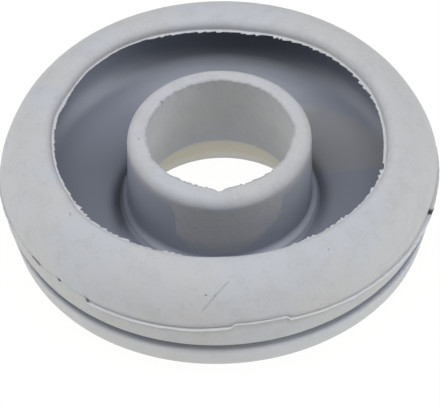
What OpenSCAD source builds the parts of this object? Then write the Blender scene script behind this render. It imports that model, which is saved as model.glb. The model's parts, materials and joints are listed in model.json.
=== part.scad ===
// Water tank seal: one moulded rubber ring, turned about the Z axis.
//
// From the outside in, its section is a bottom flange, a narrow groove that
// grips the edge of a panel hole, a rolled sealing rim whose lip curls over an
// undercut channel, a floor that sinks towards the hub, and the hub with its bore.
// The hub's foot reaches below the flange as a short spout with a flared mouth,
// and the seal stands on it. The origin is the centre of that foot.

/* [Rolled rim] */
// Outside diameter of the rim at its parting line
rim_d = 35.4; // [29.5:0.1:43]
// Radius of the rim's rounded shoulder, from the parting line up to the crest
shoulder_r = 3.5; // [2.9:0.1:4.2]
// Height of the band between the panel groove and the parting line
band_h = 2.65; // [2:0.05:4]
// How much the band draws in from the parting line down to its foot
band_taper = 0.3; // [0:0.05:1]
// How far the lip reaches in from the rim's outside
lip_reach = 4.2; // [3.5:0.05:5.1]
// Radius of the lip's rounded nose
nose_r = 0.78; // [0.6:0.02:0.95]

/* [Mould flash] */
// How far the parting line's flash stands out from the rim
seam_flash_w = 0.3; // [0.05:0.01:0.4]
// How far the lip's torn flash reaches in from its nose
lip_flash_w = 0.28; // [0.1:0.02:0.5]
// Thickness of both flashes
flash_t = 0.14; // [0.1:0.01:0.25]
// Angle of the lip's flash below the level
lip_flash_deg = 10; // [0:1:40]

/* [Panel groove and flange] */
// Depth of the groove, from the band's foot in to the panel hole's edge
groove_depth = 1.95; // [1:0.05:2.3]
// Width of the groove, a little more than the panel's thickness
groove_w = 0.85; // [0.6:0.05:1.2]
// How far the flange's upper edge stands in from the rim's outside
flange_inset = 0.25; // [0:0.05:1.6]
// Thickness of the bottom flange
flange_t = 1.85; // [1.4:0.05:2.3]
// How much the flange's side draws in from its upper edge down to its underside
flange_taper = 0.45; // [0:0.05:0.8]
// Radius of the flange's upper edge
flange_edge_r = 0.3; // [0.05:0.05:0.5]

/* [Channel under the lip] */
// Thickness of the rim's wall where the channel is widest
wall_t = 1.9; // [1.5:0.05:2.6]
// Height of the channel's outer end above the flange's underside
floor_t = 2.4; // [1.8:0.05:2.8]
// Slope of the floor, down towards the hub
floor_deg = 16; // [6:1:18]

/* [Hub] */
// Diameter of the bore
bore_d = 12; // [6:0.1:14.4]
// Thickness of the hub's wall round the bore
hub_wall = 1.55; // [1:0.05:2.4]
// Height of the hub above the flange's underside
hub_h = 9.2; // [7.4:0.1:11.5]
// Radius of the hub's upper outer edge
hub_edge_r = 0.85; // [0.2:0.05:1]
// Width of the step round the hub's base
step_w = 0.5; // [0.3:0.05:0.8]
// Height of that step above the flange's underside
step_h = 2.1; // [1.8:0.05:2.6]
// Radius of the fillet where the hub meets the step
step_fillet_r = 0.4; // [0.2:0.05:0.6]
// Slope of the step's side, down to the floor
side_deg = 76; // [60:1:85]
// Radius of the fillet between the step's side and the floor, if the side is
// long enough for it
side_fillet_r = 1.1; // [0.4:0.1:2.2]

/* [Spout] */
// Thickness of the spout's wall round the straight bore
spout_wall = 3; // [2.4:0.05:4]
// How far the spout reaches below the flange
spout_h = 1.8; // [1:0.1:3]
// How far the mouth at the foot flares out from the bore
flare_w = 1.65; // [0.4:0.05:2.2]
// Height of the flare, from the foot up to the straight bore
flare_h = 3.8; // [2:0.1:5]
// Radius of the fillet between the spout and the flange
spout_fillet_r = 0.5; // [0.2:0.05:1]

/* [Hidden] */
$fn = 240;

// radii, from the rim in
rim_r = rim_d / 2;
band_foot_r = rim_r - band_taper;
flange_r = rim_r - flange_inset;
flange_foot_r = flange_r - flange_taper;
groove_r = band_foot_r - groove_depth;
channel_out_r = rim_r - wall_t;
lip_r = rim_r - lip_reach;

// radii, from the bore out
bore_r = bore_d / 2;
mouth_r = bore_r + flare_w;
spout_r = bore_r + spout_wall;
hub_r = bore_r + hub_wall;
step_r = hub_r + step_w;

// heights, from the spout's foot up
flange_z = spout_h;
groove_z = flange_z + flange_t;
band_z = groove_z + groove_w;
seam_z = band_z + band_h;
crest_z = seam_z + shoulder_r;
hub_z = flange_z + hub_h;
step_z = flange_z + step_h;

// The rolled lip is three arcs, each tangent to the next. The shoulder rises
// from the parting line to the crest. The nose touches it from inside and turns
// the lip down.
shoulder_c = [rim_r - shoulder_r, seam_z];
nose_c_r = lip_r + nose_r;
nose_c = [nose_c_r, seam_z + sqrt(pow(shoulder_r - nose_r, 2) - pow(nose_c_r - shoulder_c[0], 2))];

// The third arc is the channel's outer wall. It touches the nose from below,
// reaches channel_out_r and comes round to floor_z, and that sets its radius.
floor_z = flange_z + floor_t;
nose_in = channel_out_r - nose_c[0];
nose_up = nose_c[1] - floor_z;
reach = nose_in + nose_up + nose_r;
channel_r = reach - sqrt(pow(reach, 2) - pow(nose_in, 2) - pow(nose_up, 2) + pow(nose_r, 2));
channel_c = [channel_out_r - channel_r, floor_z + channel_r];
// where the line from the nose to the channel's centre is level with the seam
lip_root = nose_c + (channel_c - nose_c) * (nose_c[1] - seam_z) / (nose_c[1] - channel_c[1]);

// The floor runs off that arc as its tangent, down towards the hub.
floor_way = [cos(floor_deg), sin(floor_deg)];
floor_end = channel_c + channel_r * [floor_way[1], -floor_way[0]];

// The step's side leaves the step's edge and meets the floor's line at side_foot.
side_way = [-cos(side_deg), sin(side_deg)];
side_drop = step_z - floor_end[1] + (floor_end[0] - step_r) * tan(floor_deg);
side_len = side_drop / (side_way[1] - side_way[0] * tan(floor_deg));
side_foot = [step_r, step_z] - side_len * side_way;

// The fillet between the two is as large as it is asked to be, or as the side's
// length allows. It ends a little below the step's edge.
side_turn = acos(floor_way * side_way);
side_share = 0.95;
side_round_r = min(side_fillet_r, side_share * side_len * tan(side_turn / 2));

// the four level and upright ways that a side can leave a corner
in = [-1, 0];
out = [1, 0];
down = [0, -1];
up = [0, 1];

// overlap of shapes that become one, and how far a cut runs past its face
lap = 0.1;

// a box in section, from one corner to the other
module span(low, high) {
    translate(low) square(high - low);
}

// What lies between a corner at p and its rounding of radius r, and a little
// beyond the corner. The corner's sides leave it along the unit vectors a and
// b, where b is anticlockwise from a. Added, it fillets an inner corner. Cut,
// it rounds an edge.
module round_off(p, a, b, r) {
    turn = acos(a * b);
    run = r / tan(turn / 2);
    c = p + (a + b) * r / sin(turn);
    difference() {
        polygon([p - lap * (a + b), p + run * a, c, p + run * b]);
        translate(c) circle(r);
    }
}

// disc whose side slopes in towards its underside, with a rounded upper edge
module flange_section() {
    side = [flange_foot_r - flange_r, -flange_t];
    difference() {
        polygon([[bore_r, flange_z], [flange_foot_r, flange_z], [flange_r, groove_z], [bore_r, groove_z]]);
        round_off([flange_r, groove_z], in, side / norm(side), flange_edge_r);
    }
}

// neck in the groove, the band above it, and the rounded shoulder to the crest
module rim_section() {
    span([step_r, groove_z - lap], [groove_r, band_z + lap]);
    polygon([[step_r, band_z], [band_foot_r, band_z], [rim_r, seam_z], [step_r, seam_z]]);
    intersection() {
        translate(shoulder_c) circle(shoulder_r);
        polygon([
            [rim_r + lap, seam_z - flash_t / 2], [rim_r + lap, crest_z + shoulder_r],
            nose_c + 2 * (nose_c - shoulder_c), nose_c, lip_root, [lip_root[0], seam_z - flash_t / 2]
        ]);
    }
    translate(nose_c) circle(nose_r);
}

// thin skirts of rubber that squeezed out where the mould's halves met
module flash_section() {
    span([channel_out_r, seam_z - flash_t], [rim_r + seam_flash_w, seam_z]);
    translate(nose_c) rotate(180 + lip_flash_deg)
        translate([0, -flash_t / 2]) square([nose_r + lip_flash_w, flash_t]);
}

// What is open between the hub and the rim, from the floor up to just above the
// parting line. The lip hangs over it, and nothing else is there.
module channel_section() {
    translate(channel_c) circle(channel_r);
    polygon([
        [step_r, step_z], side_foot, floor_end, channel_c,
        [channel_c[0], seam_z + lap], [step_r, seam_z + lap]
    ]);
}

// tube round the bore, with a rounded top edge, and a filleted step at its base
// whose side runs down to the floor in a wide fillet
module hub_section() {
    difference() {
        span([bore_r, flange_z], [hub_r, hub_z]);
        round_off([hub_r, hub_z], in, down, hub_edge_r);
    }
    span([bore_r, flange_z], [step_r, step_z]);
    round_off([hub_r, step_z], out, up, step_fillet_r);
    round_off(side_foot, floor_way, side_way, side_round_r);
}

// foot below the flange
module spout_section() {
    span([bore_r, 0], [spout_r, flange_z + lap]);
    round_off([spout_r, flange_z], down, out, spout_fillet_r);
}

// the bore's lower end, opening out towards the foot
module flare_section() {
    spread = lap * flare_w / flare_h;
    polygon([[bore_r - lap, -lap], [mouth_r + spread, -lap], [bore_r, flare_h], [bore_r - lap, flare_h]]);
}

module seal_section() {
    difference() {
        union() {
            difference() {
                union() {
                    flange_section();
                    rim_section();
                }
                channel_section();
            }
            flash_section();
            hub_section();
            spout_section();
        }
        flare_section();
    }
}

module tank_seal() {
    color([0.7, 0.71, 0.74]) rotate_extrude() seal_section();
}

tank_seal();
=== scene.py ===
# %% [markdown]
# # A moulded rubber tank seal
#
# The part is one ring of soft grey rubber, pressed in a two-part mould. Everything on it is one section
# turned about the vertical axis, so the whole looks model is one surface too: a section line carried round
# the axis. A Screw modifier on a curve would do that for a plain ring. A grid worked out in numpy can also
# change its section from bearing to bearing, and that is needed here, because what makes the seal look real
# is what the mould left behind. Rubber squeezed out where the mould's halves met, and it was torn off by
# hand, so the lip and the parting line have a ragged skirt.

# %% The frame
import json
import math

import bpy
import numpy as np
from mathutils import Matrix, Vector


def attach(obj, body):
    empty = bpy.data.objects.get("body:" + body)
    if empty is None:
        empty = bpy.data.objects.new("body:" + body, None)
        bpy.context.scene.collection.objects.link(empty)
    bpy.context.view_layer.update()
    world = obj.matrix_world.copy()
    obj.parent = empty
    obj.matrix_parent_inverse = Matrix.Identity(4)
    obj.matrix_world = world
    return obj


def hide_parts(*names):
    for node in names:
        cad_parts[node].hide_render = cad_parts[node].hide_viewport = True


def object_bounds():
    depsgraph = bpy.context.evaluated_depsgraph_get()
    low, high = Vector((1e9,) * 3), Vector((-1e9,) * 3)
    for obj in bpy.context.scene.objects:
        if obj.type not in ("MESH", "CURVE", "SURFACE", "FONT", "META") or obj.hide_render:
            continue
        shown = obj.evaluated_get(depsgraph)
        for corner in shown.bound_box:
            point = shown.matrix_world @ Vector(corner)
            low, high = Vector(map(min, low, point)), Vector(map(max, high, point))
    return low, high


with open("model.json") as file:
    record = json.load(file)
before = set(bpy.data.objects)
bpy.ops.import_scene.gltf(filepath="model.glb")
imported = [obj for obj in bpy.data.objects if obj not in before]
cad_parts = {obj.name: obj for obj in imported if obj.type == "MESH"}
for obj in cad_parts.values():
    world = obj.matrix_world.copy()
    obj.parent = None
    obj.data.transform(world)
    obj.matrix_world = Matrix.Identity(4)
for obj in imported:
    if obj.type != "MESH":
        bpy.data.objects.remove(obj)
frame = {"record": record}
cad_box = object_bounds()
MM = 0.001
mounts = {mount["name"]: mount for mount in frame["record"]["mounts"]}
outer_r = (cad_box[1].x - cad_box[0].x) / 2 / MM
top_z = (cad_box[1].z - cad_box[0].z) / MM
bore_r = mounts["nozzle_bore"]["dims"]["r_mm"]
print(f"the ring is {2 * outer_r:.1f} mm across and {top_z:.1f} mm high, with a {2 * bore_r:.1f} mm bore")

# %% [markdown]
# ## The camera
#
# The seal is small and is seen from far off through a long lens, so its circles stay true ellipses. The
# camera looks down at it from the front, and is turned a little about its own line of sight. It could be
# set by rotation angles, but three axes that are worked out one from the other are easier to check. It aims
# at a point just above the flange, which sets the seal in the frame with no lens shift.

# %% Camera
LOOK_DOWN = math.radians(47.2)
ROLL = math.radians(2.1)
DISTANCE = 0.8
# how wide a strip the camera takes in, and where it aims, from the middle of the flange's underside
VIEW_WIDTH = 36.18 * MM
AIM_RIGHT = -0.04 * MM
AIM_UP = 0.55 * MM
# height of the flange's underside, in millimetres
FLANGE_Z = 1.8

level_right = Vector((1, 0, 0))
level_up = Vector((0, math.sin(LOOK_DOWN), math.cos(LOOK_DOWN)))
cam_right = level_right * math.cos(ROLL) - level_up * math.sin(ROLL)
cam_up = level_right * math.sin(ROLL) + level_up * math.cos(ROLL)
cam_back = cam_right.cross(cam_up)
aim = Vector((0, 0, FLANGE_Z * MM)) + cam_right * AIM_RIGHT + cam_up * AIM_UP

lens = bpy.data.cameras.new("long_lens")
lens.sensor_fit = "HORIZONTAL"
lens.lens = lens.sensor_width * DISTANCE / VIEW_WIDTH
lens.clip_start = 0.01
lens.clip_end = 10
camera = bpy.data.objects.new("camera", lens)
turn = Matrix((cam_right, cam_up, cam_back)).transposed().to_4x4()
camera.matrix_world = Matrix.Translation(aim + cam_back * DISTANCE) @ turn
bpy.context.scene.collection.objects.link(camera)
bpy.context.scene.camera = camera
print(f"a {lens.lens:.0f} mm lens, {DISTANCE:.1f} m away")

# %% [markdown]
# ## Round the ring and along the section
#
# The surface is a grid. Its columns are bearings round the ring, counted from +X towards +Y, and its rows
# follow the section. A bearing of -90 degrees is the front. Each stretch of the section is a small array of
# radii and heights in millimetres. A stretch that is the same all round has one column, and one that
# wanders has a column for each bearing, so numpy spreads the first kind over the second by itself.

# %% Bearings and the helpers that vary things round the ring
COLUMNS = 720
bearing = np.linspace(-180, 180, COLUMNS, endpoint=False)
angle = np.radians(bearing)


def away_from(centre):
    """Degrees between each bearing and a centre, the short way round: |((b - c + 180) mod 360) - 180|."""
    return np.abs((bearing - centre + 180) % 360 - 180)


def ease(x):
    """A smooth step from 0 to 1: 3x^2 - 2x^3, held flat outside 0 to 1."""
    x = np.clip(x, 0, 1)
    return x * x * (3 - 2 * x)


def notch(centre, half_width):
    """1 at a bearing, and a straight fall to 0 at half_width degrees on either side: 1 - |b - c| / w."""
    return np.clip(1 - away_from(centre) / half_width, 0, 1)


def lobe(centre, half_width):
    """1 at a bearing, and a smooth fall to 0 at half_width degrees on either side: a notch, eased."""
    return ease(notch(centre, half_width))


def run(start, end, soft):
    """1 between two bearings and 0 elsewhere, with both ends eased over soft degrees."""
    middle, half = (start + end) / 2, (end - start) / 2
    return ease((half - away_from(middle)) / soft + 0.5)


def wander(seed, slowest, fastest, size):
    """A line that wanders round the ring and meets itself: a sum of waves with random phases, whose
    heights fall as their number rises, scaled so that its usual swing is size."""
    dice = np.random.default_rng(seed)
    waves = np.arange(slowest, fastest + 1)
    phases = dice.uniform(0, 2 * np.pi, len(waves))
    heights = dice.uniform(0.4, 1, len(waves)) / np.sqrt(waves)
    line = (heights[:, None] * np.cos(waves[:, None] * angle + phases[:, None])).sum(0)
    return size * line / line.std()


def round_the_ring(knots):
    """A value at each bearing, on straight lines between knots, each a bearing and the value there."""
    return np.interp(bearing, *np.transpose(knots))


print(f"{COLUMNS} bearings, {360 / COLUMNS:.2f} degrees apart")


# %% Helpers that draw a stretch of the section
def same_all_round(radii, heights):
    """Points given one by one: radii and heights side by side. Shape: points, 2, 1."""
    return np.stack(np.broadcast_arrays(radii, heights), axis=1)[:, :, None]


def straight(start, end, steps):
    """Points from start towards end, the end left out: start + (end - start) t. Shape: steps, 2, columns."""
    start, end = np.reshape(start, (2, -1)), np.reshape(end, (2, -1))
    t = np.linspace(0, 1, steps, endpoint=False)[:, None, None]
    return start + (end - start) * t


def arc(centre, radius, first, last, steps):
    """Points on an arc from one angle to another, the last left out: centre + radius (cos a, sin a)."""
    t = np.linspace(0, 1, steps, endpoint=False)[:, None]
    a = np.radians(first + (last - first) * t)
    return np.stack([centre[0] + radius * np.cos(a), centre[1] + radius * np.sin(a)], axis=1)


def soft_corners(corners, steps):
    """A run of straight lines whose corners are eased: each corner is (radius, height, ease), and is drawn
    as the curve (1 - t)^2 A + 2t (1 - t) C + t^2 B between the points A and B that lie ease away on its
    two sides. The first and last corners are only directions, and aren't drawn."""
    points = np.array([corner[:2] for corner in corners])
    t = np.linspace(0, 1, steps + 1)[:, None]
    drawn = []
    for before, here, after, corner in zip(points, points[1:], points[2:], corners[1:]):
        a = here + (before - here) / np.linalg.norm(before - here) * corner[2]
        b = here + (after - here) / np.linalg.norm(after - here) * corner[2]
        drawn.append((1 - t) ** 2 * a + 2 * t * (1 - t) * here + t ** 2 * b)
    return np.concatenate(drawn)[:, :, None]


print("helpers: same_all_round, straight, arc, soft_corners")

# %% [markdown]
# ## The sizes of the section
#
# These are the sizes of the real moulding, in millimetres, with heights counted from the spout's foot. The
# outside radius, the height and the bore come from the frame, and the rest hangs on them. The lip is three
# arcs that touch each other: the shoulder, the small nose at its tip, and the channel's wall under it. It
# could be one free curve, but arcs are how a mould is cut, and they keep its highlights even.

# %% Section sizes
SEAM_FLASH = 0.3
FLASH_T = 0.14
SEAM_Z = 7.15
SHOULDER_R = 3.5
NOSE_R = 0.78
LIP_REACH = 4.2
BAND_TAPER = 0.3
GROOVE_TOP = 4.5
GROOVE_DEPTH = 1.95
FLANGE_TOP = 3.65
FLANGE_INSET = 0.25
FLANGE_TAPER = 0.45
CHANNEL_WALL = 1.9
CHANNEL_R = 2.515
CHANNEL_FOOT = 2.4
FLOOR_SLOPE = math.radians(16)
HUB_WALL = 1.55
HUB_EDGE_R = 0.85
STEP_W = 0.5
STEP_H = 2.1
SIDE_SLOPE = math.radians(76)
SPOUT_WALL = 3
FLARE_W = 1.65
FLARE_TOP = 3.8

rim_r = outer_r - SEAM_FLASH
band_foot_r = rim_r - BAND_TAPER
groove_r = band_foot_r - GROOVE_DEPTH
flange_r = rim_r - FLANGE_INSET
flange_foot_r = flange_r - FLANGE_TAPER
hub_r = bore_r + HUB_WALL
step_r = hub_r + STEP_W
step_z = FLANGE_Z + STEP_H
spout_r = bore_r + SPOUT_WALL
mouth_r = bore_r + FLARE_W
print(f"across: rim {2 * rim_r:.1f}, groove's floor {2 * groove_r:.1f}, hub {2 * hub_r:.1f} mm")

# %% The lip's three arcs and the floor under it
shoulder = np.array([rim_r - SHOULDER_R, SEAM_Z])
nose_out = rim_r - LIP_REACH + NOSE_R - shoulder[0]
nose = shoulder + [nose_out, math.sqrt((SHOULDER_R - NOSE_R) ** 2 - nose_out ** 2)]
channel = np.array([rim_r - CHANNEL_WALL - CHANNEL_R, FLANGE_Z + CHANNEL_FOOT + CHANNEL_R])
nose_turn = math.degrees(math.atan2(nose[1] - shoulder[1], nose[0] - shoulder[0]))
under_turn = math.degrees(math.atan2(nose[1] - channel[1], nose[0] - channel[0]))

# The floor leaves the channel's arc as its tangent, and meets the step's side at side_foot.
floor_out = channel + CHANNEL_R * np.array([math.sin(FLOOR_SLOPE), -math.cos(FLOOR_SLOPE)])
side_drop = step_z - floor_out[1] + (floor_out[0] - step_r) * math.tan(FLOOR_SLOPE)
side_length = side_drop / (math.sin(SIDE_SLOPE) + math.cos(SIDE_SLOPE) * math.tan(FLOOR_SLOPE))
side_foot = np.array([step_r, step_z]) + side_length * np.array([math.cos(SIDE_SLOPE), -math.sin(SIDE_SLOPE)])
floor_in = side_foot + side_length * np.array([math.cos(FLOOR_SLOPE), math.sin(FLOOR_SLOPE)])
print(f"the nose is at radius {nose[0]:.2f}, height {nose[1]:.2f} mm")

# %% [markdown]
# ## The parting line
#
# The mould's halves met on a line round the rim, just under its shoulder. A thin ledge of rubber stands out
# there, with a crease over it where the shoulder bulges above. The ledge was torn away by hand, so it
# changes from one stretch to the next: it drops a little at the front left, lies flush beside that, and
# stands out as a fin at the two sides. A bump in the material could draw it, but a bump leaves the outline
# smooth, so the ledge is real. Each stretch is one row of a short list, and its ends are eased.

# %% How the parting line runs
# bearing and height of the line, all the way round
SEAM_RUN = [
    (-180, 6.95), (-163, 6.7), (-152, 6.4), (-147, 6.35), (-140, 6.75), (-128.8, 6.66), (-128.2, 6.42),
    (-116, 6.56), (-107, 6.62), (-96, 6.8), (-88.4, 7.03), (-87.4, 7.34), (-80, 7.33), (-73.2, 7.27),
    (-72.6, 6.9), (-54, 6.32), (-39, 6.0), (-29, 5.7), (-14, 5.95), (0, 6.5), (14, 6.95), (96, 6.9),
    (131, 6.7), (180, 6.95)]
# from bearing, to bearing, how far the ledge stands out at either end, depth of the crease
PARTING = [
    (-163, -147, 0.03, 0.03, 0.05),
    (-152, -146, 0.02, 0.03, 0.2),
    (-139.6, -137.8, 0.03, 0.05, 0.3),
    (-129.6, -127.4, 0.12, 0.18, 0.28),
    (-127.4, -88, 0.18, 0.20, 0.12),
    (-88, -73, 0.09, 0.09, 0.03),
    (-73, -50, 0.14, 0.16, 0.1),
    (-50, -14, 0.16, 0.34, 0.12),
    (-17, -14.4, 0.0, 0.0, 0.3),
    (-14, 1, 0.26, 0.18, 0.08),
    (1, 16, 0.16, 0.08, 0.06),
    (16, 96, 0.05, 0.05, 0.05),
    (96, 131, 0.14, 0.14, 0.12),
    (131, 172, 0.05, 0.05, 0.04),
    (172, 180, 0.05, 0.08, 0.06),
    (-180, -165.6, 0.08, 0.16, 0.08),
    (-164.6, -162, 0.14, 0.06, 0.08),
]
PARTING_SOFT = 0.9
LEDGE_EVERYWHERE = 0.015
CREASE_EVERYWHERE = 0.02
THINNEST = 0.005

ledge_w = np.full(COLUMNS, LEDGE_EVERYWHERE)
crease_d = np.full(COLUMNS, CREASE_EVERYWHERE)
for start, end, first_w, last_w, depth in PARTING:
    there = run(start, end, PARTING_SOFT)
    ledge_w += there * (first_w + (last_w - first_w) * np.clip((bearing - start) / (end - start), 0, 1))
    crease_d += there * depth
seam_z = round_the_ring(SEAM_RUN) + wander(3, 5, 40, 0.012)
ledge_w = np.maximum(ledge_w + wander(4, 12, 160, 0.012), THINNEST)
crease_d = np.maximum(crease_d + wander(5, 12, 120, 0.01), THINNEST)
crease_h = 0.05 + 0.6 * crease_d
print(f"the parting line lies between {seam_z.min():.2f} and {seam_z.max():.2f} mm up")

# %% The outside of the rim
BAND_ROWS = 3
SHOULDER_ROWS = 12
# how high the band's first row stands over the groove, and the gap between rows that keep a corner sharp
BAND_EDGE = 0.12
HAIR = 0.01


def rim_surface(height):
    """The rim's outside radius at a height: a straight taper below the seam, and the shoulder's circle
    above it, radius = centre + sqrt(R^2 - (height - centre)^2)."""
    taper = band_foot_r + (rim_r - band_foot_r) * (height - GROOVE_TOP) / (SEAM_Z - GROOVE_TOP)
    rise = np.maximum(height - SEAM_Z, 0)
    return np.where(height < SEAM_Z, taper, shoulder[0] + np.sqrt(SHOULDER_R ** 2 - rise ** 2))


def band_rows():
    """The band, from its foot at the groove up to the ledge, straight lines along the taper."""
    low, high = np.full(COLUMNS, GROOVE_TOP + BAND_EDGE), seam_z - FLASH_T
    return straight([rim_surface(low), low], [rim_surface(high), high], BAND_ROWS)


def parting_rows():
    """Nine rows at the parting line: out under the ledge, up its edge, in over its top and up the crease."""
    foot, over = seam_z - FLASH_T, seam_z + crease_h
    low, top, high = rim_surface(foot), rim_surface(seam_z), rim_surface(over)
    return np.array([
        (low, foot), (low + 0.9 * ledge_w, foot + HAIR), (top + ledge_w, foot + 4 * HAIR),
        (top + ledge_w, seam_z - 2 * HAIR), (top + 0.94 * ledge_w, seam_z),
        (top - 0.8 * crease_d, seam_z + HAIR), (top - crease_d, seam_z + 4 * HAIR),
        (high - 0.6 * crease_d, seam_z + 0.7 * crease_h), (high, over)])


def shoulder_rows():
    """The shoulder from just over the crease to the crest, on the shoulder's circle. Where the seam lies
    below the circle's centre, the first rows stand on the straight taper under it."""
    start = seam_z + crease_h
    end = shoulder[1] + SHOULDER_R * math.sin(math.radians(nose_turn))
    t = np.linspace(0, 1, SHOULDER_ROWS + 1)[1:, None]
    low = np.degrees(np.arcsin(np.clip((start - SEAM_Z) / SHOULDER_R, -1, 1)))
    turn = np.radians(low + (nose_turn - low) * t)
    height = np.minimum(SEAM_Z + SHOULDER_R * np.sin(turn), end)
    on_circle = shoulder[0] + SHOULDER_R * np.cos(turn)
    return np.stack([np.where(height < SEAM_Z, rim_surface(height), on_circle), height], axis=1)


print("the rim: band, parting line and shoulder")

# %% [markdown]
# ## The lip and its torn flash
#
# The shoulder runs into a small round nose, and the nose turns back under to the channel's wall. On the
# nose hangs the skirt that squeezed out between the mould's core and its upper half. It was pulled off in
# short tugs, which left a row of small teeth, longest at the front, and at the right and the back a wider
# strip of it stayed on. Teeth placed one by one would be a long list, so they come from one saw-shaped line
# whose pitch and heights vary. The skirt is a few rows that all start on the nose and go out along one
# direction, each by its share of the width.

# %% How far the torn skirt reaches in
# the skirt's direction from the nose, inwards and a little down, and the usual degrees from tooth to tooth
FLASH_WAY = math.radians(188)
TOOTH_PITCH = 2.9
TOOTH_SIZES = 200
NARROWEST = 0.02


def teeth(seed):
    """A row of torn teeth, 0 to 1: each rises as the root of its run, drops at its end and has a height of
    its own, and their pitch wanders."""
    place = (bearing + wander(seed, 5, 60, 0.8)) / TOOTH_PITCH
    sizes = np.random.default_rng(seed + 1).uniform(0.35, 1, TOOTH_SIZES)
    return (place % 1) ** 0.6 * sizes[np.floor(place).astype(int) % len(sizes)]


# most ragged where it tore at the front, less so at the right, the back and the left, and almost smooth
# between them
torn_front = run(-152, -104, 5) + run(-66, -13.5, 2)
torn_left = run(150, 212, 8)
ragged = 0.04 + 0.24 * run(12, 76, 8) + 0.16 * run(76, 112, 8) + 0.12 * torn_left + 0.4 * torn_front
flash_w = (0.1 + 0.1 * run(-13.5, 113.6, 1) + 0.09 * torn_left + 0.03 * torn_front
           + ragged * (teeth(11) - 0.4) + wander(12, 8, 90, 0.012))
flash_w = np.maximum(flash_w, NARROWEST)
flash_turn = 176 + 16 * np.maximum(np.sin(angle), 0) - 24 * ease(torn_front)
print(f"the torn skirt is {flash_w.min():.2f} to {flash_w.max():.2f} mm wide")


# %% The skirt's rows
def flash_point(turn, along, up):
    """A point on the skirt: from the nose's surface at an angle, along the skirt and across it."""
    turn = np.radians(turn)
    way_out, way_up = math.cos(FLASH_WAY), math.sin(FLASH_WAY)
    return np.stack([nose[0] + NOSE_R * np.cos(turn) + along * way_out + up * way_up,
                     nose[1] + NOSE_R * np.sin(turn) + along * way_up - up * way_out])


def flash_rows():
    """The skirt: out along its upper face, round its thin edge and back along its lower face. Each row
    between its two roots says how far along it is, and how far up as a share of the skirt's thickness."""
    half = math.degrees(FLASH_T / 2 / NOSE_R)
    root = np.zeros(COLUMNS)
    between = [(root + 0.03, 0.45), (0.6 * flash_w, 0.4), (flash_w - HAIR, 0.3),
               (flash_w, 0.1), (flash_w, -0.2), (0.5 * flash_w, -0.4)]
    return np.stack([flash_point(flash_turn - half, root, root),
                     *(flash_point(flash_turn, along, share * FLASH_T) for along, share in between),
                     flash_point(flash_turn + half, root, root)])


print("helpers: flash_point and flash_rows")

# %% [markdown]
# ## The whole section
#
# The stretches follow each other round the rubber with the material always on the left: out along the
# foot, up the outside, over the rim, down into the channel, up the hub, and down through the bore. Square
# edges are eased by a tenth of a millimetre or so, as a mould's edges are, and that small curve is what
# catches the light. A Bevel modifier would ease them too, but it would add faces all along the rows.

# %% The outside's corners, and the hub's foot and bore
# radius, height and how far each corner is eased, from the bore's mouth up to the band
outside = soft_corners([
    (bore_r, 0, 0), (mouth_r, 0, 0.08), (spout_r, 0, 0.25), (spout_r, FLANGE_Z, 0.5),
    (flange_foot_r, FLANGE_Z, 0.08), (flange_r, FLANGE_TOP, 0.35), (groove_r, FLANGE_TOP, 0.06),
    (groove_r, GROOVE_TOP, 0.06), (band_foot_r, GROOVE_TOP, 0.1), (rim_r, SEAM_Z, 0)], 2)
hub_foot = soft_corners([
    (floor_out[0], floor_out[1], 0), (side_foot[0], side_foot[1], 0.92 * side_length),
    (step_r, step_z, 0.14), (hub_r, step_z + 0.15, 0.36), (hub_r, top_z, 0)], 4)

# how far above the step the hub's wall starts, and how far from the bore its level top ends
HUB_WALL_FOOT = 0.6
MOUTH_EDGE = 0.12
# how far down from the top the mouth's rows lie, and how much of the rough trim each one takes
MOUTH_DEPTHS = np.array([0.0, 0.12, 0.3, 0.55, 0.9])
MOUTH_SHARES = np.array([1.0, 0.85, 0.55, 0.25, 0.0])
# heights of the rows on the bore's wall, and how far down and out each of the flare's rows lies
bore_heights = [top_z - 1.2, 7.8, 5.4, FLARE_TOP + 0.12]
flare_share = np.array([0.02, 0.07, 0.6])
print(f"{len(outside)} rows outside, {len(hub_foot)} at the hub's foot")

# %% The section, stretch by stretch
# degrees from the skirt's middle to the last row of the nose above it and the first below it
SKIRT_ABOVE = 9
SKIRT_BELOW = 8
HUB_EDGE_ROWS = 8

stretches = {
    "outside": outside,
    "band": band_rows(),
    "parting": parting_rows(),
    "shoulder": shoulder_rows(),
    "nose": arc(nose, NOSE_R, nose_turn, flash_turn - SKIRT_ABOVE, 9)[1:],
    "flash": flash_rows(),
    "under nose": arc(nose, NOSE_R, flash_turn + SKIRT_BELOW, under_turn + 180, 3),
    "channel": arc(channel, CHANNEL_R, under_turn, -90 + math.degrees(FLOOR_SLOPE), 11),
    "floor": straight(floor_out, floor_in, 10),
    "hub foot": hub_foot,
    "hub wall": straight((hub_r, step_z + HUB_WALL_FOOT), (hub_r, top_z - HUB_EDGE_R), 12),
    "hub edge": arc((hub_r - HUB_EDGE_R, top_z - HUB_EDGE_R), HUB_EDGE_R, 0, 90, HUB_EDGE_ROWS),
    "hub top": straight((hub_r - HUB_EDGE_R, top_z), (bore_r + MOUTH_EDGE, top_z), 3),
    "mouth": same_all_round(bore_r, top_z - MOUTH_DEPTHS),
    "bore wall": same_all_round(bore_r, bore_heights),
    "flare": same_all_round(bore_r + flare_share * (mouth_r - bore_r), FLARE_TOP * (1 - flare_share)),
}
rows = {}
count = 0
for name, points in stretches.items():
    rows[name] = slice(count, count + len(points))
    count += len(points)
radius = np.concatenate([np.broadcast_to(p[:, 0], (len(p), COLUMNS)) for p in stretches.values()])
height = np.concatenate([np.broadcast_to(p[:, 1], (len(p), COLUMNS)) for p in stretches.values()])
print(f"{count} rows by {COLUMNS} columns make {2 * count * COLUMNS:,} triangles")


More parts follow.
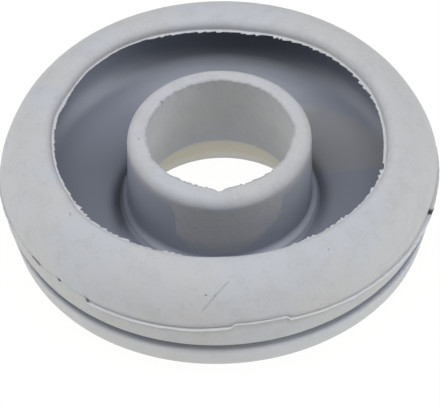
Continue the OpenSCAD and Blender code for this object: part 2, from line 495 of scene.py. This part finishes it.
# %% Ways to pick rows
def part(name, start, stop=None):
    """Some of a stretch's rows, counted as a list's items are: from start up to stop."""
    first, past, _ = slice(start, stop).indices(rows[name].stop - rows[name].start)
    return slice(rows[name].start + first, rows[name].start + past)


def through(first, last):
    """All rows from one stretch through another."""
    return slice(rows[first].start, rows[last].stop)


def by_row(*values):
    """One value for each of a few rows, as a column, so that it spreads over all bearings."""
    return np.array(values)[:, None]


# each of the outside's corners has three rows, and these are the ones at the flange and at the groove
FLANGE_ROWS = part("outside", 9, 15)
FLANGE_EDGE_ROWS = part("outside", 11, 14)
GROOVE_ROWS = part("outside", 14, 21)
GROOVE_FLOOR_ROWS = part("outside", 16, 20)
print("helpers: part, through, by_row")

# %% [markdown]
# ## The bore's mouth, and the warp of the rim
#
# The top edge of the bore was trimmed roughly, with a V-shaped nick at the front. That moves the rows near
# the edge outwards, less and less down the bore. Soft rubber also never lies quite true: the rim leans, a
# little high at the front and low at the back, while the hub and the flange stay level. A lattice could
# bend the ring so, but the grid still knows which row is which, so each row moves by its own share. The
# lean scales heights above the parting line, and the lip's opening is a little out of round.

# %% The rough trim of the bore's mouth
V_NICK = 0.42
RIGHT_NICK = 0.2

# the V at the front, a wide one at the right, a step with a bump behind it at the back left, and two bumps
# at the front, all outwards in millimetres
mouth_out = (V_NICK * notch(-90.5, 9) + RIGHT_NICK * notch(3.5, 14)
             + 0.16 * run(139, 141.5, 1) - 0.1 * run(141.5, 160, 3)
             - 0.08 * lobe(-60, 16) - 0.1 * lobe(-122, 14) + wander(21, 9, 70, 0.035))
radius[rows["mouth"]] += MOUTH_SHARES[:, None] * mouth_out
radius[rows["hub top"]] += by_row(0, 0.1, 0.5) * mouth_out
# the finest roughness stays on the edge itself, or it would leave streaks down the bore
fine_trim = wander(22, 40, 120, 0.024)
radius[part("mouth", 0, 2)] += by_row(1, 0.5) * fine_trim
print(f"the mouth's edge is moved by {mouth_out.min():.2f} to {mouth_out.max():.2f} mm")

# %% Lean and roundness
RIM_LEAN = 0.14
HUB_LEAN = 0.13
HUB_FRONT_OUT = 0.16
# bearing, and how much farther out the lip's edge is there than a true circle
LIP_OPENING = [
    (-180, 0.07), (-165, -0.02), (-155, -0.04), (-148, 0.1), (-140, 0.13), (-120, -0.08), (-90, -0.22),
    (-68, -0.05), (-52, 0.14), (-35, 0.32), (-18, 0.45), (-8, 0.3), (-3, 0.24), (8, 0.2), (22, 0.3),
    (48, 0.25), (62, -0.02), (78, -0.3), (90, -0.22), (102, -0.05), (112, 0.2), (125, 0.37), (140, 0.38),
    (150, 0.22), (165, 0.3), (180, 0.07)]

lip_rows = through("shoulder", "channel")
above = np.maximum(height[lip_rows] - SEAM_Z, 0)
height[lip_rows] -= above * RIM_LEAN * np.sin(angle)

# the rim's outside bulges at the left and the right, and is a little flat behind them
bulge = 0.28 * lobe(-174, 28) + 0.22 * lobe(0, 26)
inward = ease((rim_r - radius[lip_rows]) / (rim_r - nose[0] + NOSE_R)) * ease(above / 2)
radius[lip_rows] += inward * (round_the_ring(LIP_OPENING) - bulge)
radius[through("band", "channel")] += bulge - 0.1 * lobe(38, 50) - 0.07 * lobe(157, 40)
radius[FLANGE_ROWS] -= 0.08 * lobe(-16, 24) + 0.05 * lobe(-155, 35)

# the hub leans to the right, and its front is thicker
hub_rows = through("hub wall", "bore wall")
radius[hub_rows] += HUB_LEAN * np.clip((height[hub_rows] - step_z) / (top_z - step_z), 0, 1) * np.cos(angle)
front_out = HUB_FRONT_OUT * lobe(-90, 75)
up_wall = (height[rows["hub wall"]] - step_z) / (top_z - step_z)
radius[rows["hub wall"]] += front_out * up_wall
radius[rows["hub edge"]] += front_out * np.linspace(1, 0.4, HUB_EDGE_ROWS)[:, None]
print(f"the section now reaches {height.max():.2f} mm up and {radius.max():.2f} mm out")

# %% [markdown]
# ## From the grid to a mesh
#
# Every cell of the grid becomes one four-sided face, and the last row and column join the first ones, so
# the ring is closed and has no seam. The corners are taken in the order that makes faces point outwards.
# The faces could be written out one by one, but four whole arrays of corner numbers say the same at once.


# %% Build the ring
def ring_mesh(name, radius, height):
    """A closed ring from a grid: x = radius cos(angle), y = radius sin(angle), z = height."""
    many, columns = radius.shape
    points = np.stack([radius * np.cos(angle), radius * np.sin(angle), height], axis=2) * MM
    row, column = np.meshgrid(np.arange(many), np.arange(columns), indexing="ij")
    next_row, next_column = (row + 1) % many, (column + 1) % columns
    quads = np.stack([row * columns + column, row * columns + next_column,
                      next_row * columns + next_column, next_row * columns + column], axis=2).reshape(-1, 4)
    mesh = bpy.data.meshes.new(name)
    mesh.from_pydata(points.reshape(-1, 3), [], quads.tolist())
    mesh.polygons.foreach_set("use_smooth", np.ones(len(quads), bool))
    mesh.update()
    piece = bpy.data.objects.new(name, mesh)
    bpy.context.scene.collection.objects.link(piece)
    return piece


seal = ring_mesh("moulded_seal", radius, height)
print(f"{len(seal.data.polygons):,} faces")

# %% [markdown]
# ## Where the rubber differs
#
# Out in the open the rubber has a pale bloom, a dust-fine film of its own wax. Down in the channel it is
# bare and darker, the darkness partly painted shade, and where the channel lies open it is lighter and
# bluer with painted light, with a painted highlight on the floor behind the hub. Torn edges are paler
# than either, and the skirt, the ledge's top and the flange's edge carry a painted highlight. Cracks, a
# notch, the gully over the skirt, the wall under the lip, the groove and the fillet at the hub's foot are
# darkened with painted shade. Two patches, on the hub's front and on the channel's right side, are lighter
# and warmer, with a sharp edge, and the flare carries painted warm light from the base below. These places
# could be masks in the material, but the grid already knows each point's row and bearing, so the mesh
# carries each of them as a number at each point, six in all.

# %% Bare rubber with painted shade, and painted light
HUB_SHADE_AND_BARENESS = 0.6

# painted light lies in front and on the step, and a painted highlight on the floor behind the hub and a
# little on the back left wall
haze = np.zeros((count, COLUMNS))
painted_light_front = 1.2 * lobe(-90, 75)
painted_highlight_back = 1.1 * lobe(86, 46)
haze[rows["channel"]] += 0.3 * painted_light_front
haze[through("floor", "hub foot")] += painted_light_front
# painted highlight on the floor behind the hub
haze[rows["floor"]] += painted_highlight_back
haze[part("channel", -4)] += by_row(0.05, 0.1, 0.2, 0.6) * painted_highlight_back
# painted highlight, a soft streak on the channel's back left wall
haze[rows["channel"]] += 0.4 * lobe(128, 25)
# painted light on the step at the right
haze[part("hub foot", 5, 13)] += 0.45 * lobe(-15, 65)
haze = np.clip(haze, 0, 1)

# how bare the rubber is, with painted shade: wholly in the channel and under the skirt, partly elsewhere
slate = np.zeros((count, COLUMNS))
slate[through("under nose", "hub foot")] = 1
slate[part("flash", 5)] = 1
# on the hub's wall, painted shade that darkens towards the bottom and is lighter at the front right
low_on_wall = ease((7 - height[rows["hub wall"]]) / 2)
slate[rows["hub wall"]] = HUB_SHADE_AND_BARENESS * (1 - 0.35 * lobe(-30, 45)) + 0.24 * low_on_wall
# painted light on the wall's top row, under the hub's edge
slate[part("hub wall", -1)] *= 0.3
# painted shade, darker and cooler towards the bottom of the bore
slate[rows["bore wall"]] = by_row(0, 0, 0.08, 0.2)
# painted shadow under the band, on the flange's top at the left and the right
slate[GROOVE_ROWS] = by_row(0.9, 1, 1, 1, 1, 1, 0.5) * (lobe(-150, 60) + 0.8 * lobe(-28, 50))
print(f"{(slate == 1).mean():.0%} of the points are bare")

# %% Torn edges and painted highlights
# proud is 1 where the ledge stands out, apart from the two fins, which aren't torn pale; it sets the painted
# highlight on the ledge's top and the painted shadow under it
PROUD_LEDGE = 0.15
fins = run(-20, 30, 6) + run(165, 200, 6)
proud = ease(ledge_w / PROUD_LEDGE) * (1 - 0.9 * fins)
pale = np.zeros((count, COLUMNS))
# the torn skirt is paler, and its upper face carries a painted highlight
pale[part("flash", 1, 5)] = 0.5
# painted highlight on the ledge's top
pale[part("parting", 3, 5)] = proud
# painted highlight on the flange's upper edge, strongest at the front
pale[FLANGE_EDGE_ROWS] = 0.4 * lobe(-90, 130)
print(f"the ledge stands proud over {(proud > 0.5).mean():.0%} of the way round")

# %% Painted shade in cracks, creases and hollows
# bearing, and how much painted shade the ring round the hub's foot takes there
FOOT_SHADE = [
    (-180, 0.78), (-176, 0.7), (-164, 0.5), (-158, 0.22), (-152, 0), (-25, 0), (-16, 0.16), (-4, 0.42),
    (6, 0.56), (20, 0.6), (90, 0.62), (180, 0.78)]
# the radii at which that ring starts and is past, and how softly
FOOT_RING_IN, FOOT_RING_IN_SOFT = 7.72, 0.5
FOOT_RING_OUT, FOOT_RING_OUT_SOFT = 9.65, 1.4
# painted shade on the channel's back wall in each row, from under the lip down to the floor
BACK_WALL_SHADE = by_row(0.9, 0.85, 0.8, 0.7, 0.6, 0.55, 0.5, 0.44, 0.43, 0.42, 0.08)

dark = np.zeros((count, COLUMNS))
# painted shade in three torn cracks over the ledge, and in a notch at the right
crack_shade = 0.6 * run(-151, -147.2, 0.6) + 0.95 * run(-139.2, -138.3, 0.5) + 0.85 * run(-129, -128.1, 0.5)
notch_shade = 0.95 * run(-16.8, -15, 0.6)
# painted shadow under the ledge
dark[part("parting", 0, 2)] = 0.3 * proud
dark[part("parting", 4, 7)] = crack_shade
dark[part("parting", 4, -1)] += notch_shade
# painted shadow under the band, in the groove
dark[GROOVE_FLOOR_ROWS] = 0.2 * (lobe(-150, 50) + 0.6 * lobe(-28, 45))
# painted shade in the gully, where the nose turns down into the skirt
gully_shade = 0.22 * lobe(175, 60) + 0.18 * lobe(5, 40) + 0.12 * lobe(110, 50)
dark[part("nose", -4)] = by_row(0.2, 0.6, 1, 1) * gully_shade
# painted shade under the lip, mostly at the back
dark[rows["under nose"]] = 0.3 * lobe(80, 70)
dark[rows["channel"]] = BACK_WALL_SHADE * lobe(77, 62)
# painted shadow at the front of the hub's foot, just over the lip
dark[part("hub foot", 3)] = 0.35 * lobe(-92, 45)
# painted shade in a ring round the hub's foot, strongest at the sides and the back
foot_rows = through("floor", "hub foot")
ring_in = ease((radius[foot_rows] - FOOT_RING_IN) / FOOT_RING_IN_SOFT)
ring_out = ease((FOOT_RING_OUT - radius[foot_rows]) / FOOT_RING_OUT_SOFT)
dark[foot_rows] += round_the_ring(FOOT_SHADE) * ring_out * ring_in
print(f"{(dark > 0.1).mean():.0%} of the points are darkened")

# %% Warm patches, and painted warm light on the flare
# height, and the bearing of the hub's patch at its left and right edges
PATCH_LEFT = [(4.6, -92), (4.9, -103), (5.4, -111), (6.4, -119), (8.6, -119), (10.1, -124)]
PATCH_RIGHT = [(4.6, -92), (4.9, -79), (5.5, -70), (6.6, -59), (7.7, -49.5), (10.1, -48)]
PATCH_SOFT = 1.2
# the channel's patch, in millimetres from the axis: inside a disc, farther right than DISC_ACROSS, and
# behind a line that falls to the right
DISC_CENTRE = (5.6, 1.5)
DISC_R = 8.35
DISC_ACROSS = 5
LINE_ALONG, LINE_FALL = 3.9, 0.14
DISC_SOFT = 0.3

# lighter, warmer patches with sharp edges, on the hub's front and the channel's right side
warm = np.zeros((count, COLUMNS))
from_bearing = np.interp(height[rows["hub wall"]], *np.transpose(PATCH_LEFT))
to_bearing = np.interp(height[rows["hub wall"]], *np.transpose(PATCH_RIGHT))
warm[rows["hub wall"]] = (ease((bearing - from_bearing) / PATCH_SOFT + 0.5)
                          * ease((to_bearing - bearing) / PATCH_SOFT + 0.5))
low_rows = through("channel", "hub foot")
across, along = radius[low_rows] * np.cos(angle), radius[low_rows] * np.sin(angle)
in_disc = ease((DISC_R - np.hypot(across - DISC_CENTRE[0], along - DISC_CENTRE[1])) / DISC_SOFT + 0.5)
behind_line = ease((along - LINE_ALONG + LINE_FALL * across) / DISC_SOFT + 0.5)
warm[low_rows] = in_disc * behind_line * (across > DISC_ACROSS)
# painted warm light from the base below, on the flared mouth
stain = np.zeros((count, COLUMNS))
stain[rows["flare"]] = by_row(0, 1, 1)
# warm is 1 on the lighter, warmer patches; the flare's share is painted warm light
print(f"{(warm > 0.5).mean():.0%} of the points have a warm film, {(stain > 0.5).mean():.0%} are stained")


# %% Numbers carried by the mesh
def carry(mesh, name, values):
    """Stores one number for each point of the mesh, to be read by its material."""
    layer = mesh.attributes.new(name, "FLOAT", "POINT")
    layer.data.foreach_set("value", np.ascontiguousarray(values, np.float32).ravel())


carried = {"slate": slate, "haze": haze, "pale": pale, "dark": dark, "warm": warm, "stain": stain}
for name, values in carried.items():
    carry(seal.data, name, values)
print("the mesh carries:", ", ".join(carried))

# %% [markdown]
# ## Writing a material as arithmetic
#
# A material is a web of small nodes. Wired by hand it is hard to read, so one small class holds a socket and
# lets it be added, multiplied and so on, and each such step adds the Math node that does it. Colours go
# through a Mix node instead, because a Math node would turn them grey.


# %% A socket that does arithmetic
class Wire:
    """One output in a material's web. Arithmetic on it adds Math nodes and gives the new output."""

    def __init__(self, web, port):
        self.web = web
        self.port = port

    def _math(self, operation, first, second):
        return self.web.node("ShaderNodeMath", {"operation": operation}, {0: first, 1: second})

    def __add__(self, other):
        return self._math("ADD", self, other)

    def __radd__(self, other):
        return self._math("ADD", other, self)

    def __sub__(self, other):
        return self._math("SUBTRACT", self, other)

    def __rsub__(self, other):
        return self._math("SUBTRACT", other, self)

    def __mul__(self, other):
        return self._math("MULTIPLY", self, other)

    def __rmul__(self, other):
        return self._math("MULTIPLY", other, self)


print("Wire is ready: +, - and *")


# %% A web of nodes
class Web:
    """A material and its nodes, and the few ways that this script adds to them."""

    def __init__(self, name):
        self.material = bpy.data.materials.new(name)
        self.material.use_nodes = True
        self.tree = self.material.node_tree
        self.tree.nodes.clear()

    def node(self, kind, settings=None, sockets=None, out=0):
        """Adds a node: its settings first, then its sockets, each given a value or a wire."""
        made = self.tree.nodes.new(kind)
        for key, value in (settings or {}).items():
            setattr(made, key, value)
        for key, value in (sockets or {}).items():
            if isinstance(value, Wire):
                self.tree.links.new(value.port, made.inputs[key])
            else:
                made.inputs[key].default_value = value
        return Wire(self, made.outputs[out]) if made.outputs else None

    def vector(self, operation, sockets, out="Vector"):
        """Arithmetic on points and directions."""
        return self.node("ShaderNodeVectorMath", {"operation": operation}, sockets, out)

    def between(self, value, low, high):
        """0 where a value is at low, 1 where it is at high, smooth between and flat outside."""
        return self.node("ShaderNodeMapRange", {"interpolation_type": "SMOOTHSTEP"},
                         {"Value": value, "From Min": low, "From Max": high})

    def blend(self, share, first, second):
        """A colour that goes from first to second as share goes from 0 to 1. A Mix node has its share in
        socket 0, its two colours in sockets 6 and 7, and the blended colour in output 2."""
        return self.node("ShaderNodeMix", {"data_type": "RGBA"}, {0: share, 6: first, 7: second}, out=2)

    def noise(self, place, scale, detail=3.0, roughness=0.5):
        """Cloudy noise, 0 to 1, with so many lumps to a unit of place."""
        return self.node("ShaderNodeTexNoise", None,
                         {"Vector": place, "Scale": scale, "Detail": detail, "Roughness": roughness})

    def near(self, place, start, end, width):
        """1 on the line between two points and 0 beyond width from it. The distance is |p - a - t (b - a)|,
        with t = (p - a) . (b - a) / |b - a|^2 held between 0 and 1."""
        way = end - start
        from_start = self.vector("SUBTRACT", {0: place, 1: start})
        share = self.vector("DOT_PRODUCT", {0: from_start, 1: way / way.length_squared}, "Value")
        share = self.node("ShaderNodeClamp", None, {"Value": share})
        foot = self.vector("SCALE", {0: way, "Scale": share})
        far = self.vector("DISTANCE", {0: from_start, 1: foot}, "Value")
        return self.between(far, width, 0.3 * width)

    def attribute(self, name):
        """A number that the mesh carries for each of its points."""
        return self.node("ShaderNodeAttribute", {"attribute_name": name}, out="Fac")


print("Web is ready")

# %% [markdown]
# ## The rubber
#
# The finish is matte outside, where the bloom lies, and a little shinier where the rubber is bare. One flat
# grey would look like plastic. So the bloom is clouded, with a cooler tint in places and a fine mottle of
# grime, and the warm patches are streaked. Over that lie painted shade, painted light and painted
# highlights. A few specks and scratches are drawn as short lines, each by its distance from the line
# between two points, because an image of them would be one more file to keep. The mould's own skin is a
# fine bump.

# %% The rubber's colours, specks and scratches
BLOOM = (0.498, 0.503, 0.517, 1)
BLOOM_COOL = (0.485, 0.505, 0.55, 1)
GRIME = (0.40, 0.405, 0.42, 1)
# bare rubber, darkened with painted shade
BARE_SHADED = (0.243, 0.264, 0.322, 1)
# bare rubber lightened with painted light and painted highlight
BARE_PAINTED_LIGHT = (0.50, 0.53, 0.61, 1)
# the bluer tone halfway between bloom and shaded bare rubber
HALF_BARE_SHADED = (0.355, 0.378, 0.445, 1)
# paler torn edges, and the painted highlight on the skirt, the ledge and the flange's edge
TORN_AND_HIGHLIGHT = (0.63, 0.645, 0.68, 1)
# the lighter, warmer patches, on bloom and on bare rubber
WARM_PATCH = (0.47, 0.475, 0.48, 1)
WARM_PATCH_ON_BARE = (0.28, 0.285, 0.305, 1)
# painted warm light from the base, on the flare
BASE_LIGHT_WARM = (0.53, 0.51, 0.45, 1)
# black for the painted shade in cracks and hollows, and for the specks and scratches
SHADE_AND_SPECK_BLACK = (0.01, 0.01, 0.012, 1)

# bearing, radius and height of each mark's two ends, how wide it is and how dark
MARKS = [
    ((-94.8, 16.74, 9.86), (-95, 16.76, 9.83), 0.085, 0.75),
    ((-107.1, 17.53, 8.34), (-107.4, 17.53, 8.34), 0.08, 0.35),
    ((-146.4, 14.64, 10.89), (-145.6, 14.75, 10.87), 0.12, 0.3),
    ((-56.4, 15.58, 10.75), (-56.6, 15.62, 10.73), 0.09, 0.4),
    ((-63.4, 17.69, 7.32), (-63.8, 17.69, 7.3), 0.09, 0.3),
    ((-177.5, 6.43, 11.0), (-178, 6.5, 11.0), 0.09, 0.5),
    ((-95.6, 17.39, 8.76), (-92.4, 16.79, 9.8), 0.14, 0.2),
    ((-92.4, 16.79, 9.8), (-88.6, 15.98, 10.53), 0.14, 0.2),
    ((-100.0, 17.04, 9.45), (-97.5, 17.4, 8.73), 0.07, 0.09),
]


def point_at(bearing, radius, height):
    """A point from its place round the ring: (radius cos(bearing), radius sin(bearing), height)."""
    turn = math.radians(bearing)
    return Vector((radius * math.cos(turn), radius * math.sin(turn), height))


print(len(MARKS), "specks and scratches")

# %% Rubber
SKIN_DEPTH = 0.05 * MM


def rubber_colour(web, mm, slate):
    """The rubber's colour: each step lays one more thing over what is there."""
    haze, pale, dark, warm, stain = map(web.attribute, ("haze", "pale", "dark", "warm", "stain"))

    clouds = web.between(web.noise(mm, 0.16, 2), 0.4, 0.62)
    mottle = 0.6 * web.noise(mm, 0.7, 4, 0.6) + 0.4 * web.noise(mm, 3.5, 3, 0.6)
    bloom = web.blend(clouds * 0.85, BLOOM, BLOOM_COOL)
    bloom = web.blend(web.between(mottle, 0.56, 0.34) * 0.42, bloom, GRIME)

    # between bloom and bare rubber lies a bluer tone, strongest halfway; the bare rubber carries painted
    # shade, and painted light where the channel lies open
    shaded_bare = web.blend(slate, bloom, web.blend(haze, BARE_SHADED, BARE_PAINTED_LIGHT))
    shaded_bare = web.blend(slate * (1 - slate) * 2.2, shaded_bare, HALF_BARE_SHADED)

    # the warm patches' tone is darker on bare, shaded rubber, and its streaks run level, because heights are
    # stretched before the noise reads them
    level = web.vector("MULTIPLY", {0: mm, 1: (1, 1, 3)})
    streaks = web.between(web.noise(level, 1.6, 4, 0.65), 0.5, 0.7)
    warm_patch_tone = web.blend(web.between(slate - haze, 0.6, 1), WARM_PATCH, WARM_PATCH_ON_BARE)
    warm_patch_tone = web.blend(streaks * 0.35, warm_patch_tone, BARE_SHADED)

    # the lighter, warmer patches
    colour = web.blend(warm, shaded_bare, warm_patch_tone)
    # painted warm light on the flare
    colour = web.blend(stain, colour, BASE_LIGHT_WARM)
    # paler torn edges and painted highlights
    colour = web.blend(pale, colour, TORN_AND_HIGHLIGHT)
    # specks and scratches join the painted shade
    for start, end, width, strength in MARKS:
        dark = dark + strength * web.near(mm, point_at(*start), point_at(*end), width)
    return web.blend(dark, colour, SHADE_AND_SPECK_BLACK)


def rubber():
    """Matte grey rubber: bloomed outside, bare in the channel, with painted shade and painted light laid over
    its colour, faintly clouded, with a fine moulded skin.
    """
    web = Web("rubber")
    place = web.node("ShaderNodeTexCoord", out="Object")
    mm = web.vector("SCALE", {0: place, "Scale": 1 / MM})
    slate = web.attribute("slate")
    skin = web.noise(mm, 3.2, 4, 0.6)
    bump = web.node("ShaderNodeBump", None, {"Strength": 0.12, "Distance": SKIN_DEPTH, "Height": skin})
    shader = web.node("ShaderNodeBsdfPrincipled", None, {
        "Base Color": rubber_colour(web, mm, slate),
        "Roughness": 0.68 - 0.33 * slate + 0.1 * web.noise(mm, 1.1, 3),
        "Normal": bump})
    web.node("ShaderNodeOutputMaterial", None, {"Surface": shader})
    return web.material


seal.data.materials.append(rubber())
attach(seal, "root")
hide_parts("tank_seal")
print("the seal is finished in", seal.data.materials[0].name)

# %% [markdown]
# ## Floor and light
#
# The seal stands on a white base that is lit from within, in a pale tent, with a wide soft lamp overhead and
# weaker ones round about. Tent and lamps together light a level surface so that its colour comes out about
# as it is written. The base sends a warmer light up, which is what brightens the flange, the bore and the
# flared mouth. To the camera and in reflections the base is nearly plain white, with only a trace of the
# seal's shadow. More lamp light would whiten the floor too, but it would also wash out the seal.

# %% Floor
FLOOR_HALF = 0.6
FLOOR_GLOW = 0.6
FLOOR_WHITE = 0.93
SEE_WHITE = ("Is Camera Ray", "Is Glossy Ray", "Is Transmission Ray")


def floor_finish():
    """A base that reflects half of its light and glows warmly. The camera and reflections see it as almost
    white."""
    web = Web("floor_white")
    plain = web.node("ShaderNodeBsdfDiffuse", None, {"Color": (0.5, 0.5, 0.48, 1)})
    glow = web.node("ShaderNodeEmission", None, {"Color": (1, 0.99, 0.9, 1), "Strength": FLOOR_GLOW})
    both = web.node("ShaderNodeAddShader", None, {0: plain, 1: glow})
    white = web.node("ShaderNodeEmission", None, {"Color": (1, 1, 1, 1), "Strength": 1.0})
    seen = sum(web.node("ShaderNodeLightPath", out=ray) for ray in SEE_WHITE)
    mix = web.node("ShaderNodeMixShader", None, {0: seen * FLOOR_WHITE, 1: both, 2: white})
    web.node("ShaderNodeOutputMaterial", None, {"Surface": mix})
    return web.material


floor_mesh = bpy.data.meshes.new("floor")
corners = [(x * FLOOR_HALF, y * FLOOR_HALF, 0) for x, y in ((-1, -1), (1, -1), (1, 1), (-1, 1))]
floor_mesh.from_pydata(corners, [], [(0, 1, 2, 3)])
floor = bpy.data.objects.new("floor", floor_mesh)
floor.data.materials.append(floor_finish())
bpy.context.scene.collection.objects.link(floor)
print("a floor of", 2 * FLOOR_HALF, "m")

# %% Light
TENT_LEVEL = 0.1
# name, elevation, bearing that it comes from, level on a surface that faces it, colour
LAMPS = [
    ("overhead", 78, -90, 0.44, (1, 1, 1)),
    ("left", 35, 180, 0.28, (1, 1, 1)),
    ("right", 35, 0, 0.325, (0.98, 0.99, 1)),
    ("back", 35, 90, 0.09, (1, 1, 1)),
    ("front_right", 22, -30, 0.16, (0.98, 0.99, 1)),
    ("back_left", 22, 150, 0.14, (1, 1, 1)),
    ("front_left", 22, -150, 0.06, (1, 1, 1)),
]
LAMP_WIDTH = math.radians(40)

world = bpy.data.worlds.new("pale_tent")
bpy.context.scene.world = world
world.use_nodes = True
world.node_tree.nodes["Background"].inputs["Color"].default_value = (1, 1, 1, 1)
world.node_tree.nodes["Background"].inputs["Strength"].default_value = TENT_LEVEL

for name, elevation, comes_from, level, colour in LAMPS:
    light = bpy.data.lights.new(name, "SUN")
    light.energy = level * math.pi
    light.angle = LAMP_WIDTH
    light.color = colour
    lamp = bpy.data.objects.new(name, light)
    up, around = math.radians(elevation), math.radians(comes_from)
    towards = Vector((math.cos(up) * math.cos(around), math.cos(up) * math.sin(around), math.sin(up)))
    lamp.rotation_euler = towards.to_track_quat("Z", "Y").to_euler()
    bpy.context.scene.collection.objects.link(lamp)

bpy.context.scene.view_settings.view_transform = "Standard"
on_level = TENT_LEVEL + sum(lamp[3] * math.sin(math.radians(lamp[1])) for lamp in LAMPS)
print(f"a level white surface comes out at {on_level:.2f}")
